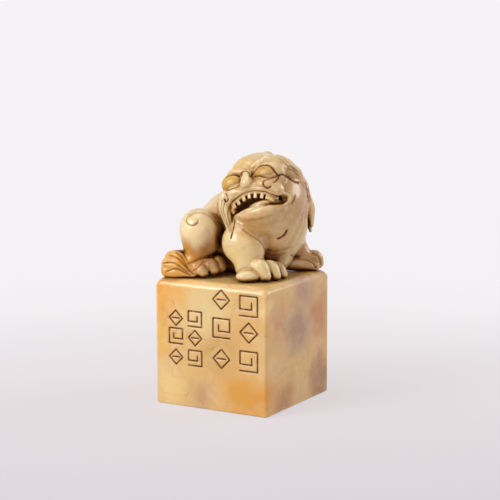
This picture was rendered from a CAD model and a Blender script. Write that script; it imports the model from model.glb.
# %% [markdown]
# # A stone seal stamp with a lion for its grip
# A seal stamp is one bar of soft stone. The lower half stays a plain square shaft, whose underside
# is cut to print. The upper half is carved in the round as a crouching guardian lion. This lesson
# dresses the plain solids of the stamp: it models the carving again as one finer skin, cuts the
# carver's lines into it, and gives the stone its waxy, clouded look.

# %% Load the plain solids
import math

import bpy
import numpy as np
from mathutils import Matrix, Vector


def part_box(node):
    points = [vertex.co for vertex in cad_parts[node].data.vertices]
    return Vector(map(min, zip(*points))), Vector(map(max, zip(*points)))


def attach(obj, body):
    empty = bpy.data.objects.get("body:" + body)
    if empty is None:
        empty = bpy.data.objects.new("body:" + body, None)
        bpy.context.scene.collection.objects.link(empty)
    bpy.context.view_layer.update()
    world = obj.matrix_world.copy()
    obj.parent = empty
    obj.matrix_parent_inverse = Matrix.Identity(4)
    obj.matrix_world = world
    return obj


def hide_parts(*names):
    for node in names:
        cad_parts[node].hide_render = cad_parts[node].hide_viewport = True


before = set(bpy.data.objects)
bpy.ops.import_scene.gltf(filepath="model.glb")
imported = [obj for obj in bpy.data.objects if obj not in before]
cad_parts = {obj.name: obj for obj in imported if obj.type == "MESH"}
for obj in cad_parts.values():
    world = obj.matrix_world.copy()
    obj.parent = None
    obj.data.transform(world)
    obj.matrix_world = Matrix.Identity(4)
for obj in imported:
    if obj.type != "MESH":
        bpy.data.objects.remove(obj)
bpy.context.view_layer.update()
MM = 0.001
shaft_low, shaft_high = [np.array(corner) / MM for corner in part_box("seal_shaft")]
shaft_width = shaft_high[0] - shaft_low[0]
shaft_height = shaft_high[2] - shaft_low[2]
half = shaft_width / 2
print(f"shaft {shaft_width:.2f} mm wide and {shaft_height:.2f} mm high, {len(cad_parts)} nodes")

# %% [markdown]
# ## The camera
# The photograph was taken from the front right, a little above the stamp, with a long lens. The
# camera stands where it has to stand for the shaft's seven visible corners to fall on their pixels.
# It could be placed by eye, but solving it from the corners also gives the shaft's proportions.

# %% Camera
PHOTO_SIDE = 500
FOCAL_PIXELS = 1836
SENSOR_MM = 36
camera_spot = Vector((0.25259, -0.42852, 0.12728))
azimuth, elevation, roll = [math.radians(angle) for angle in (30.29, 9.80, -0.13)]

camera_back = Vector((math.sin(azimuth) * math.cos(elevation),
                      -math.cos(azimuth) * math.cos(elevation), math.sin(elevation)))
camera_right = Vector((math.cos(azimuth), math.sin(azimuth), 0))
camera_up = camera_back.cross(camera_right)
rolled_right = math.cos(roll) * camera_right + math.sin(roll) * camera_up
rolled_up = math.cos(roll) * camera_up - math.sin(roll) * camera_right

camera = bpy.data.objects.new("camera", bpy.data.cameras.new("camera"))
camera.data.sensor_width = SENSOR_MM
camera.data.lens = FOCAL_PIXELS / PHOTO_SIDE * SENSOR_MM
turn = Matrix((rolled_right, rolled_up, camera_back)).transposed()
camera.matrix_world = Matrix.Translation(camera_spot) @ turn.to_4x4()
bpy.context.scene.collection.objects.link(camera)
bpy.context.scene.camera = camera
print(f"lens {camera.data.lens:.1f} mm")

# %% [markdown]
# ## Colours and nodes
# Colours are written as sRGB hex values, as a paint chart gives them, and one function turns them
# to the linear values that Blender works in. One more function adds a node, sets it and links it.
# A third tells what the camera sees from what only sheds light, which the backdrop needs twice.

# %% Three helpers
def linear(hex_colour):
    """A linear RGBA colour from an sRGB hex value such as 'e8d0a4'."""
    shares = [int(hex_colour[i:i + 2], 16) / 255 for i in (0, 2, 4)]
    return [s / 12.92 if s <= 0.04045 else ((s + 0.055) / 1.055) ** 2.4 for s in shares] + [1]


MIX_A, MIX_B, MIX_OUT = 6, 7, 2


def node(tree, kind, inputs=(), **settings):
    """A new node with its settings. An input is a value, or a socket to link from."""
    made = tree.nodes.new("ShaderNode" + kind)
    for name, value in settings.items():
        setattr(made, name, value)
    for socket, value in dict(inputs).items():
        if isinstance(value, bpy.types.NodeSocket):
            tree.links.new(value, made.inputs[socket])
        else:
            made.inputs[socket].default_value = value
    return made


def in_sight(tree):
    """1 where the camera sees a surface, also in a mirror or through glass, and 0 for light."""
    rays = node(tree, "LightPath").outputs
    seen = rays["Is Camera Ray"]
    for kind in ("Is Transmission Ray", "Is Glossy Ray"):
        seen = node(tree, "Math", {0: seen, 1: rays[kind]}, operation="MAXIMUM").outputs[0]
    return seen


bpy.context.scene.view_settings.view_transform = "Standard"
print("cream", [round(c, 3) for c in linear("e8d0a4")])

# %% [markdown]
# ## The light and the floor
# The photograph has a pale sweep behind the stamp and soft light from the upper left, with a
# second, weaker one from the right that draws a thin bright rim. Lamps are placed by the camera's
# own axes, so that "left" means left in the picture.

# %% Lamps
stamp_centre = Vector((0, 0, 0.035))


def softbox(name, right, up, back, side, watts, colour):
    """A square lamp that looks at the stamp, placed in metres along the camera's axes."""
    lamp = bpy.data.objects.new(name, bpy.data.lights.new(name, "AREA"))
    lamp.data.shape = "SQUARE"
    lamp.data.size = side
    lamp.data.energy = watts
    lamp.data.color = linear(colour)[:3]
    lamp.location = stamp_centre + right * camera_right + up * Vector((0, 0, 1)) + back * camera_back
    lamp.rotation_euler = (lamp.location - stamp_centre).to_track_quat("Z", "Y").to_euler()
    bpy.context.scene.collection.objects.link(lamp)


softbox("key_softbox", -0.46, 0.21, 0.26, 0.28, 1.9, "fafcff")
softbox("top_softbox", -0.10, 0.50, 0.06, 0.30, 0.85, "ffffff")
softbox("rim_softbox", 0.42, 0.22, -0.12, 0.22, 0.68, "ffffff")
softbox("front_fill", 0.04, 0.10, 0.58, 0.40, 0.42, "fff4e2")

# %% [markdown]
# Besides its lamps a studio has the light that its walls and bench throw back. A picture of a room
# could give it, but an even one is enough here. It has two strengths: as light it is weak and warm,
# and to the eye and in the wax's reflections it is the pale backdrop of the photograph.

# %% World
WORLD_LIGHT = 0.34
WARM_ROOM, PALE_BACKDROP = "ffeccc", "f6f3f6"
world = bpy.data.worlds.new("studio")
bpy.context.scene.world = world
world.use_nodes = True
sky = world.node_tree
sky.nodes.clear()
shown = in_sight(sky)
strength = node(sky, "MapRange", {"Value": shown, "To Min": WORLD_LIGHT, "To Max": 1.0})
tone = node(sky, "Mix", {0: shown, MIX_A: linear(WARM_ROOM), MIX_B: linear(PALE_BACKDROP)},
            data_type="RGBA")
studio = node(sky, "Background", {"Color": tone.outputs[MIX_OUT], "Strength": strength.outputs[0]})
node(sky, "OutputWorld", {"Surface": studio.outputs[0]})
print("world light", WORLD_LIGHT)

# %% [markdown]
# The floor is matt white paper, wide enough to fill the picture. Far behind the stamp a real sweep
# curves up into light. A curved sheet could do that, but one flat sheet that slowly turns to its own
# pale tone does it without a second object, and the paper near the stamp still takes its shadow.

# %% Floor
FLOOR_REACH = 3.0
SHADOW_START, SHADOW_END = 0.02, 0.2  # metres from the stamp's middle over which its shadow fades
PAPER, PAPER_NEAR, PAPER_FAR = "e0dae0", "dcd6dc", "f4f1f4"
SWEEP_WAY = (-math.sin(azimuth), math.cos(azimuth), 0)
floor_mesh = bpy.data.meshes.new("floor")
corners = [(-FLOOR_REACH, -FLOOR_REACH, 0), (FLOOR_REACH, -FLOOR_REACH, 0),
           (FLOOR_REACH, FLOOR_REACH, 0), (-FLOOR_REACH, FLOOR_REACH, 0)]
floor_mesh.from_pydata(corners, [], [(0, 1, 2, 3)])
floor = bpy.data.objects.new("floor", floor_mesh)
bpy.context.scene.collection.objects.link(floor)

# uncoated paper is quite matt: it mirrors nothing, and only takes the stamp's shadow
paper = bpy.data.materials.new("white_sweep_paper")
paper.use_nodes = True
tree = paper.node_tree
tree.nodes.clear()
place = node(tree, "TexCoord")
away = node(tree, "VectorMath", {0: place.outputs["Object"]}, operation="LENGTH")
fade = node(tree, "MapRange", {"Value": away.outputs["Value"], "From Min": SHADOW_START,
                               "From Max": SHADOW_END, "To Min": 0.7},
            interpolation_type="SMOOTHSTEP")
share = node(tree, "Math", {0: fade.outputs[0], 1: in_sight(tree)}, operation="MULTIPLY")
sheet = node(tree, "BsdfPrincipled", {"Base Color": linear(PAPER), "Roughness": 0.9})
to_back = node(tree, "VectorMath", {0: place.outputs["Object"], 1: SWEEP_WAY}, operation="DOT_PRODUCT")
near = node(tree, "MapRange", {"Value": to_back.outputs["Value"], "From Min": -0.1, "From Max": 0.12})
tone = node(tree, "Mix", {0: near.outputs[0], MIX_A: linear(PAPER_NEAR), MIX_B: linear(PAPER_FAR)},
            data_type="RGBA")
far = node(tree, "MapRange", {"Value": to_back.outputs["Value"], "From Min": 0.1, "From Max": 0.6})
tone = node(tree, "Mix", {0: far.outputs[0], MIX_A: tone.outputs[MIX_OUT],
                          MIX_B: linear(PALE_BACKDROP)}, data_type="RGBA")
white = node(tree, "Emission", {"Color": tone.outputs[MIX_OUT], "Strength": 1.0})
both = node(tree, "MixShader", {0: share.outputs[0], 1: sheet.outputs[0], 2: white.outputs[0]})
node(tree, "OutputMaterial", {"Surface": both.outputs[0]})
floor_mesh.materials.append(paper)
print(f"floor {2 * FLOOR_REACH} m wide")

# %% [markdown]
# ## Carving with distances
# A carver thinks in masses: a ball for the thigh, a roll for a toe. Here each mass is a form that
# answers one question, how far a point is from its skin, with a minus sign inside the stone. Two
# distances blend softly where flesh meets flesh, and sharply where a chisel has parted them. That
# is easier to shape than a mesh of points, and one skin is drawn round everything at the end.

# %% Forms
REACH = 4.0  # mm round a form's box. Any point further out is just called that far, which saves work


class Form:
    """A distance function and the box that holds its skin, in millimetres."""

    def __init__(self, distance, low, high):
        self.distance = distance
        self.low = np.asarray(low, float)
        self.high = np.asarray(high, float)

    def __call__(self, points):
        near = np.all((points > self.low - REACH) & (points < self.high + REACH), axis=1)
        away = np.full(len(points), REACH, points.dtype)
        away[near] = self.distance(points[near])
        return away


def turned(x, y, z):
    """The rotation that turns about Z, then Y, then X, in degrees."""
    return np.array(Matrix.Rotation(math.radians(x), 3, "X") @ Matrix.Rotation(math.radians(y), 3, "Y")
                    @ Matrix.Rotation(math.radians(z), 3, "Z"))


def egg(centre, radii, angles=(0, 0, 0)):
    """A ball with three radii, turned about its own centre."""
    centre, radii, turn = np.array(centre, float), np.array(radii, float), turned(*angles)

    def distance(points):
        scaled = (points - centre) @ turn / radii
        reach = np.linalg.norm(scaled, axis=1)
        slope = np.linalg.norm(scaled / radii, axis=1)
        return reach * (reach - 1) / np.maximum(slope, 1e-6)

    extent = np.linalg.norm(turn * radii, axis=1)
    return Form(distance, centre - extent, centre + extent)


ball = egg((0, 0, 0), (5, 5, 5))
print("a 5 mm ball is", ball(np.array([[7.0, 0, 0]]))[0], "mm from a point at 7 mm")

# %% Swept limbs
def smooth_path(points, steps):
    """Points along a Catmull-Rom curve through the given ones."""
    points = np.array(points, float)
    held = np.vstack([2 * points[0] - points[1], points, 2 * points[-1] - points[-2]])
    along = np.linspace(0, len(points) - 1, steps + 1)
    piece = np.minimum(along.astype(int), len(points) - 2)
    t = (along - piece)[:, None]
    a, b, c, d = held[piece], held[piece + 1], held[piece + 2], held[piece + 3]
    return 0.5 * (2 * b + (c - a) * t + (2 * a - 5 * b + 4 * c - d) * t**2
                  + (3 * b - a - 3 * c + d) * t**3)


def limb(path, radii, steps=16):
    """A round section swept along a smooth path, its radius changing on the way."""
    spots = smooth_path(path, steps)
    sizes = np.interp(np.linspace(0, 1, steps + 1), np.linspace(0, 1, len(radii)), radii)

    def distance(points):
        nearest = np.full(len(points), 1e3)
        for a, b, from_size, to_size in zip(spots, spots[1:], sizes, sizes[1:]):
            run = b - a
            share = np.clip((points - a) @ run / (run @ run), 0, 1)
            away = np.linalg.norm(points - a - share[:, None] * run, axis=1)
            nearest = np.minimum(nearest, away - from_size - share * (to_size - from_size))
        return nearest

    return Form(distance, spots.min(0) - max(radii), spots.max(0) + max(radii))


print("a 1 mm roll from 0 to 4 mm reaches x", limb([(0, 0, 0), (4, 0, 0)], [1]).high[0], "mm")

# %% [markdown]
# Two forms are joined by taking the lesser of their distances, and one is cut by another by taking
# the greater with the cutter's sign turned. A Boolean modifier would do it too, but leaves every
# crease hard. Here the two distances run together over a chosen width, as a file rounds a crease.

# %% Joining and cutting
def soft_lesser(a, b, width):
    """The lesser of two distances, rounded where they are nearly the same."""
    near = np.maximum(width - np.abs(a - b), 0) / width
    return np.minimum(a, b) - near * near * width / 4


def joined(width, *forms):
    """Forms run together, with the crease between them filled over a width."""
    def distance(points):
        least = forms[0](points)
        for form in forms[1:]:
            least = soft_lesser(least, form(points), width)
        return least

    return Form(distance, np.min([f.low for f in forms], 0), np.max([f.high for f in forms], 0))


def cut_by(width, form, cutter):
    """A form with a cutter taken out of it, the rim rounded over a width."""
    return Form(lambda points: -soft_lesser(-form(points), cutter(points), width), form.low, form.high)


def placed(form, turn, centre=(0, 0, 0)):
    """A form drawn in another frame, such as the head's."""
    turn, centre = np.array(turn, float), np.array(centre, float)
    ends = np.array([[x, y, z] for x in (form.low[0], form.high[0])
                     for y in (form.low[1], form.high[1]) for z in (form.low[2], form.high[2])])
    ends = ends @ turn.T + centre
    back = np.linalg.inv(turn)
    return Form(lambda points: form((points - centre) @ back.T), ends.min(0), ends.max(0))


def mirrored(form):
    return placed(form, np.diag([-1, 1, 1]))


def both_sides(form):
    return joined(SHARP, form, mirrored(form))


FLESH, SOFT, SHARP, CHISELLED = 3.0, 1.6, 0.5, 0.35
print("creases in mm: flesh", FLESH, "soft", SOFT, "sharp", SHARP, "chiselled", CHISELLED)

# %% [markdown]
# ## The lion's body
# The carver first blocks out the rump, the back and one big round chest, and leaves the legs as
# rolls at the corners of the bar. Sizes are in millimetres from the centre of the shaft's top. The
# widths of the blends matter as much as the masses: 3 mm for flesh, 0.5 mm for a chiselled crease.

# %% Trunk
rump = egg((-8, 2.6, 9.2), (8.6, 9.6, 9.4))
shoulders = egg((-3.2, 3.4, 13), (9.2, 9.4, 9.5))
spine = limb([(-5, 3.4, 21.6), (-10.6, 3, 18.4), (-15.4, 2.4, 12.4), (-15.7, 2, 7.6)],
             [1.3, 1.4, 1.4, 1.1])
belly = egg((1, 3.2, 3.4), (11, 6.8, 5))
torso = joined(SOFT, joined(FLESH, rump, shoulders), spine, belly)
chest = joined(
    SOFT,
    egg((6.6, 4.6, 13.2), (9.9, 9.4, 10.6)),
    egg((6.4, -0.2, 14.8), (8.2, 8.2, 4.8), (0, -8, 0)),
)
neck = egg((6.4, 4.4, 20.6), (9.4, 9.2, 8))
trunk = joined(FLESH, torso, chest, neck)
print("trunk box", trunk.low.round(1), trunk.high.round(1))

# %% [markdown]
# ## Legs, paws and tail
# Each leg ends in a paw of broad toes, and the fan of the tail is swept round to the near corner.
# They could be pulled out of a block with a sculpting brush. A swept limb is used instead, because
# a toe is a roll that swells at the knuckle, and three points with three radii say just that.

# %% Forelegs and their paws
def toe(heel, knuckle, tip, radius):
    """A toe swells at the knuckle and thins to the claw."""
    return limb([heel, knuckle, tip], [radius * 0.85, radius, radius * 0.75], 10)


right_foreleg = joined(
    SOFT,
    egg((4, -6.6, 9.8), (5.8, 4.9, 6), (0, 12, 30)),
    limb([(5.2, -6.8, 9), (6, -7.2, 6), (6.4, -7.4, 3.4)], [4.6, 4.2, 3.9]),
)
right_forepaw = joined(
    CHISELLED,
    egg((8.2, -11.4, 1.5), (3.2, 2, 1.8), (0, 0, 25)),
    toe((8, -8.4, 3.9), (10.6, -8.9, 3.9), (12.2, -9, 1.6), 2.2),
    toe((9.6, -5.8, 3.6), (12.2, -5.8, 3.4), (13.6, -5.8, 1.5), 2),
    toe((10, -3, 3), (12.6, -2.6, 2.9), (14, -2.4, 1.3), 1.7),
)
left_foreleg = limb([(9.4, 9.4, 17), (10.2, 10.6, 12), (10.8, 11.2, 7.6), (11.9, 12, 4)],
                    [3.8, 3.2, 2.5, 2.7])
left_forepaw = joined(
    CHISELLED,
    limb([(8.6, 7.2, 2.6), (12, 9.8, 2.2), (15.6, 12.9, 1.2)], [2, 2.2, 1.3]),
    toe((12.6, 12, 3.7), (14.9, 14.1, 3.5), (15.6, 15, 1.8), 2),
    toe((11.4, 13.4, 3.6), (13.2, 15, 3.4), (13.8, 15.7, 1.7), 1.8),
)
print("near forepaw reaches x", right_forepaw.high[0].round(1), "mm")

# %% Haunches and hind paws
right_haunch = joined(
    SOFT,
    egg((-8, -8.6, 11.5), (5.8, 5, 6.7), (0, 10, 20)),
    egg((-9.4, -8.4, 13.5), (4.5, 4.5, 4.5)),
    limb([(-9, -9.4, 6), (-9, -10.6, 3.8), (-6.6, -10.4, 3)], [3.4, 2.8, 2.4]),
)
right_hindpaw = joined(
    CHISELLED,
    toe((-7, -12.4, 2.2), (-5.6, -12.5, 2.2), (-4.9, -12.6, 1.5), 1.7),
    toe((-6.2, -9.8, 3.2), (-4.4, -9.9, 3.2), (-3.4, -10, 2.2), 2.1),
    toe((-5.6, -7, 3.4), (-4, -7.1, 3.4), (-3, -7.2, 2.6), 2.3),
)
left_haunch = joined(
    SOFT,
    egg((-7.8, 10, 10.6), (5.8, 5, 6.8), (0, 10, -10)),
    limb([(-9, 11, 5.4), (-8, 12.4, 3.6), (-4, 12.6, 2.8)], [3.2, 2.8, 2.4]),
)
left_hindpaw = joined(
    CHISELLED,
    toe((-4.6, 14.2, 2.2), (-2.6, 14.5, 2.2), (-1.4, 14.6, 1.5), 1.7),
    toe((-4, 12, 3), (-1.8, 12.2, 3), (-0.4, 12.2, 2), 2.1),
    toe((-4, 9.8, 2.6), (-2, 9.7, 2.6), (-0.8, 9.6, 1.7), 1.8),
)
print("near haunch box", right_haunch.low.round(1), right_haunch.high.round(1))

# %% Tail
tail = joined(
    0.4,
    limb([(-15, 1.2, 5.2), (-15.4, -5, 4.6), (-14.7, -12, 5.2)], [1, 1.5, 1.7]),
    limb([(-15, 1.6, 2.4), (-15.4, -5, 1.7), (-14.9, -12, 2.2)], [1.2, 1.9, 1.9]),
    limb([(-14.6, -13.4, 5), (-12, -13.4, 4.8), (-7.2, -12.8, 1)], [1.9, 1.9, 0.6]),
    limb([(-14.9, -14.8, 3.5), (-12, -14.6, 3), (-7.2, -13.4, 0.9)], [1.9, 1.9, 0.6]),
    limb([(-14.9, -15, 1.7), (-12, -15, 1.5), (-7.4, -13.8, 0.8)], [1.9, 1.6, 0.6]),
)
print("tail box", tail.low.round(1), tail.high.round(1))

# %% [markdown]
# ## The head
# The head is what a buyer looks at, so it is drawn upright in a frame of its own, +X to the lion's
# left, -Y forward and +Z up, and then raised, rolled and turned on the neck. The mouth is an arched
# slot cut under the lip. A lion's face has few hard edges: two forehead lobes, two domed eyes, a
# snub nose, and the nostril wings that swell into the upper lip.

# %% Head frame and skull
head_turn = turned(-16.8, -17.3, -3.5)
head_centre = np.array((6.4, 2, 22.9))


def on_head(form):
    return placed(form, head_turn, head_centre)


skull = joined(
    SOFT,
    egg((0, 1.6, 0.6), (9.7, 9.4, 9.4)),
    both_sides(egg((5.8, 0, -4), (4.1, 6, 5))),
    both_sides(egg((5.2, -6, 1.8), (4.3, 2.9, 3.5))),
    egg((4.5, -6.6, 2.8), (4.9, 2.1, 3.3)),
    egg((-1.1, -1.4, 3.85), (7.2, 6.2, 6.9)),
    egg((-2.9, -4.2, 5.5), (4.3, 3.9, 3.8)),
    egg((4.5, -3.6, 4.85), (4.6, 4.1, 3.6)),
    egg((6.6, -1.6, 4.4), (3.4, 4.4, 3)),
)
print("skull box", skull.low.round(1), skull.high.round(1))

# %% Nose, upper lip and brows
nose = joined(
    0.9,
    limb([(0.2, -8.9, 3.3), (0.1, -9.6, 2), (0.1, -9.9, 0.5)], [1.2, 1.5, 1.9]),
    egg((0.4, -9, -0.2), (2.8, 1.5, 1.1)),
)
wings = both_sides(joined(
    1,
    egg((5, -7.9, -0.9), (3.6, 2.7, 2.2), (0, 14, 12)),
    egg((7.5, -7.2, -2.6), (1.9, 2.1, 1.9)),
))


def arch(*half_path):
    """A path across the face: from the lion's right end, over the middle, to its left end."""
    return [(-x, y, z) for x, y, z in half_path[:-1]] + [half_path[-1]] + list(half_path[-2::-1])


upper_lip = limb(arch((8.5, -6.2, -4.6), (6.7, -8.7, -3.4), (4.6, -9.5, -2), (0, -9.8, -1)), [0.75], 30)
brows = joined(
    SHARP,
    limb([(1.8, -8.3, 5), (5.4, -7.9, 6.2), (8.4, -5, 4.6), (9.3, -1.6, 3.5)], [0.7, 1, 1.2, 1.5]),
    limb([(-1.4, -8.4, 4.4), (-5.2, -7.9, 5.3), (-8.1, -5.2, 4), (-9.3, -1.6, 3.2)],
         [0.7, 0.9, 1.1, 1.4]),
)
muzzle = joined(0.7, egg((0, -6.8, -0.6), (5.6, 3, 2.2)), wings, nose, upper_lip)
head = joined(FLESH, on_head(joined(0.9, joined(1, skull, brows), muzzle)), neck)
print("head box", head.low.round(1), head.high.round(1))

# %% [markdown]
# The mouth is where the carver's drill went in: an arched slot under the upper lip, with a rim at
# each corner, a crescent lower lip and a tongue left standing. The slot is a limb along an arch,
# stretched inwards, and it is cut out of the finished flesh, so that the lips stay full.

# %% Mouth, jaw and tongue
MOUTH_DEPTH, SHELL = 2.0, 0.04
mouth_arch = arch((7.4, -6.6, -5.4), (4.4, -7.4, -4.5), (0, -7.6, -3.8))
mouth_path = [(x, y / MOUTH_DEPTH, z) for x, y, z in mouth_arch]
mouth = placed(limb(mouth_path, [1.1, 2, 2.1, 2, 1.1], 24), np.diag([1, MOUTH_DEPTH, 1]))
mouth_corner = both_sides(egg((8.4, -5.8, -5.1), (1.7, 1.9, 1)))
corner_rim = both_sides(limb([(8.3, -6.7, -3.7), (9.2, -5, -4.2), (9.3, -4.6, -5.6), (8.5, -5.5, -6.7)],
                             [0.4, 0.55, 0.55, 0.4]))
lower_lip = limb(arch((7.2, -5.2, -6.9), (4.8, -7.9, -7.2), (0, -8.7, -6.9)), [1, 1.1, 1], 24)
lower_jaw = joined(SOFT, egg((0, -4.6, -8.2), (6.6, 5, 2.2)), lower_lip)
tongue, tongue_skin = [egg((2, -5.4, -5.7), np.array((4.8, 4, 1.5)) + shell, (0, -4, 0))
                       for shell in (0, SHELL)]
print("lower lip box", lower_lip.low.round(1), lower_lip.high.round(1))

# %% [markdown]
# The eyes are plain domes between their lids, and the ears lie back at the ends of the brows. An eye
# is drawn twice: once in the lion, so that the lids meet it, and once as a skin of its own, a tenth
# of a millimetre larger, which takes the yellower stone.

# %% Eyes and ears
EYE_SHELL = 0.1
right_eye, right_eye_skin = [egg((-5.7, -7.7, 2.3), np.array((3.3, 2, 2.7)) + shell)
                             for shell in (0, EYE_SHELL)]
left_eye, left_eye_skin = [egg((4.9, -7.5, 2.5), np.array((3.9, 2, 2.6)) + shell)
                           for shell in (0, EYE_SHELL)]
left_ear = limb([(8, -4.6, 3), (8.6, -1.8, 3.4), (8.6, 1.2, 3), (8.3, 4.4, 1.8)], [0.8, 2, 2.1, 1.3])
right_ear = limb([(-8.4, -4.4, 3), (-9.5, -1.6, 3), (-9.7, 1.8, 2.4), (-9.2, 5, 1)], [0.8, 2, 2.2, 1.5])
print("left ear box", left_ear.low.round(1), left_ear.high.round(1))

# %% [markdown]
# The mane is a cap of six locks that fan from a knot on the crown down the nape, and one lock hangs
# on each side of the face. Hair strands would be far too fine for stone. A carver cuts locks first
# and scratches the hair into them, so each lock is one swept limb, set by its angle round the head.

# %% Mane
NAPE_ANGLES = (-80, -54, -28, -2, 24, 50)
NAPE_MIDDLE = np.array((0, 1.6, 0))


def nape_path(angle):
    """The middle of a lock from the crown down the back of the head, in the head's frame."""
    side, back = math.sin(math.radians(angle)), math.cos(math.radians(angle))
    return [(out * side, NAPE_MIDDLE[1] + out * back, height) for out, height in
            ((2.4, 8.5), (6.2, 4.9), (8.4, 0), (8.8, -7))]


nape_locks = [limb(nape_path(angle), [1.5, 2.6, 2.7, 0.9]) for angle in NAPE_ANGLES]
mane_cap = egg((-0.9, 3.3, 1.1), (8.4, 8.5, 8.1))
crown_mane = joined(0.4, egg((0.6, 1.6, 10.1), (1.7, 1.8, 1.4)), mane_cap, *nape_locks)
left_mane_lock = joined(
    CHISELLED,
    limb([(11.4, 8.4, 26.2), (12.2, 10.8, 22.6), (12.9, 12.5, 17.6), (13.6, 13.9, 10.8)],
         [1.6, 1.9, 1.9, 0.4]),
    limb([(13.2, 6.4, 26), (14.3, 8.4, 22.4), (14.9, 10.6, 17.6), (14.8, 12.4, 12.6)],
         [0.9, 1.5, 1.75, 0.5]),
)
right_mane_lock = limb([(-1.4, -6.8, 22.2), (-1, -7.8, 19), (0.4, -8.4, 15.8), (2, -9.7, 12)],
                       [1.5, 1.7, 1.4, 0.4])
print(len(nape_locks), "locks on the nape")

# %% [markdown]
# Everything is then joined to one lion. The big masses run softly into each other, the mouth is cut
# out of them, and the paws, ears, eyes and locks are added last, with the sharp creases that a
# chisel leaves round them.

# %% The whole lion
flesh = joined(SOFT, joined(FLESH, torso, chest, head), on_head(lower_jaw), right_foreleg, left_foreleg,
               right_haunch, left_haunch)
lion = joined(
    SHARP,
    cut_by(SHARP, flesh, on_head(joined(SHARP, mouth, mouth_corner))),
    right_forepaw, left_forepaw, right_hindpaw, left_hindpaw, tail,
    *[on_head(form) for form in (tongue, corner_rim, right_ear, left_ear)],
    *[on_head(form) for form in (right_eye, left_eye, crown_mane)],
    left_mane_lock, right_mane_lock,
)
print("lion box", lion.low.round(1), lion.high.round(1))

# %% [markdown]
# ## Drawing the skin
# The skin is drawn on a grid: one point in each cell that the surface crosses, then a four-sided
# face across each grid line that it crosses. Only cells near the skin are worked out. The points
# are then slid onto the exact surface, because a polished stone shows every uneven facet. Blender's
# own remesh and sculpt tools would do it as well, but they need a mesh to begin with.

# %% Values near the skin
BLOCK = 4
SLACK = 0.5  # mm, because the distances of eggs and soft joins are only nearly exact


def grid_values(form, low, counts, step):
    """The form's values on a grid of blocks. A block far from the skin only gets its sign."""
    blocks = np.ceil(np.array(counts) / BLOCK).astype(int)
    index = np.stack(np.meshgrid(*[np.arange(n) for n in blocks], indexing="ij"), -1).reshape(-1, 3)
    middles = low + step * (BLOCK * index + (BLOCK - 1) / 2)
    rough = form(middles).reshape(blocks)
    values = np.repeat(np.repeat(np.repeat(rough, BLOCK, 0), BLOCK, 1), BLOCK, 2)
    margin = BLOCK * step * 1.1 + SLACK
    near = np.repeat(np.repeat(np.repeat(np.abs(rough) < margin, BLOCK, 0), BLOCK, 1), BLOCK, 2)
    values[near] = form(low + step * np.argwhere(near))
    return values


print("values round the ball:", grid_values(ball, np.full(3, -6.0), (12, 12, 12), 1).shape)

# %% One point in each cell, one face across each line
def skin(form, low, high, step):
    """The vertices and quads of the form's skin inside a box. Each quad faces out."""
    low = np.array(low, float)
    values = grid_values(form, low, (np.array(high) - low) / step, step)
    cells = np.array(values.shape) - 1
    strides = np.array((cells[1] * cells[2], cells[2], 1))
    sums, counts, rings = np.zeros((3, cells.prod())), np.zeros(cells.prod()), []
    for axis in range(3):
        here = np.take(values, range(cells[axis]), axis)
        there = np.take(values, range(1, cells[axis] + 1), axis)
        spots = np.argwhere((here < 0) != (there < 0))
        a, b = here[tuple(spots.T)], there[tuple(spots.T)]
        crossing = spots.astype(float)
        crossing[:, axis] += a / (a - b)
        first, second = strides[(axis + 1) % 3], strides[(axis + 2) % 3]
        corner = spots @ strides
        ring = np.stack([corner, corner - first, corner - first - second, corner - second], 1)
        for cell in ring.T:
            counts += np.bincount(cell, minlength=len(counts))
            for i in range(3):
                sums[i] += np.bincount(cell, crossing[:, i], len(counts))
        ring[a >= 0] = ring[a >= 0][:, ::-1]
        rings.append(ring)
    used = np.flatnonzero(counts)
    number = np.zeros(len(counts), int)
    number[used] = np.arange(len(used))
    points = low + step * (sums[:, used] / counts[used]).T
    return points, number[np.vstack(rings)]


print("the ball's skin has", len(skin(ball, (-6, -6, -6), (6, 6, 6), 1)[0]), "points")

# %% Onto the exact skin
ROUNDS = 3


def ways_out(points, quads):
    """The way out of the stone at each point, from the faces round it."""
    a, b, c, d = points[quads.T]
    across = np.cross(c - a, d - b)
    ways = np.stack([sum(np.bincount(corner, across[:, i], len(points)) for corner in quads.T)
                     for i in range(3)], 1)
    return ways / np.maximum(np.linalg.norm(ways, axis=1)[:, None], 1e-9)


def settled(form, points, quads, step):
    """Points slid onto the form's skin, never further than a third of a grid step at a time."""
    for _ in range(ROUNDS):
        move = np.clip(form(points), -step / 3, step / 3)
        points = points - move[:, None] * ways_out(points, quads)
    return points


print("points are slid", ROUNDS, "times")

# %% Objects from points
def mesh_object(name, points, faces, hollow, ink, smooth=True):
    """An object from millimetre points, which also hold how hollow and how brown each of them is."""
    mesh = bpy.data.meshes.new(name)
    mesh.from_pydata(points * MM, [], faces)
    if smooth:
        mesh.shade_smooth()
    made = bpy.data.objects.new(name, mesh)
    bpy.context.scene.collection.objects.link(made)
    for attribute, values in (("hollow", hollow), ("ink", ink)):
        held = mesh.attributes.new(attribute, "FLOAT", "POINT")
        held.data.foreach_set("value", values.astype(np.float32))
    print(name, "has", len(points), "points")
    return made


print("an object is drawn in metres, and 1 mm is", MM, "m")

# %% [markdown]
# ## The carver's lines
# Brows, nostril curls, hair and folds are single strokes of a fine chisel, rubbed with brown so
# that they read. Each stroke is named, and written as the pixels that it passes in the photograph.
# A ray from the camera through each pixel is followed until it meets the stone, so the stroke lies
# on the skin from every side. Painted lines would be simpler, but only a real groove catches light
# along its edge as the stamp is turned.

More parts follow.
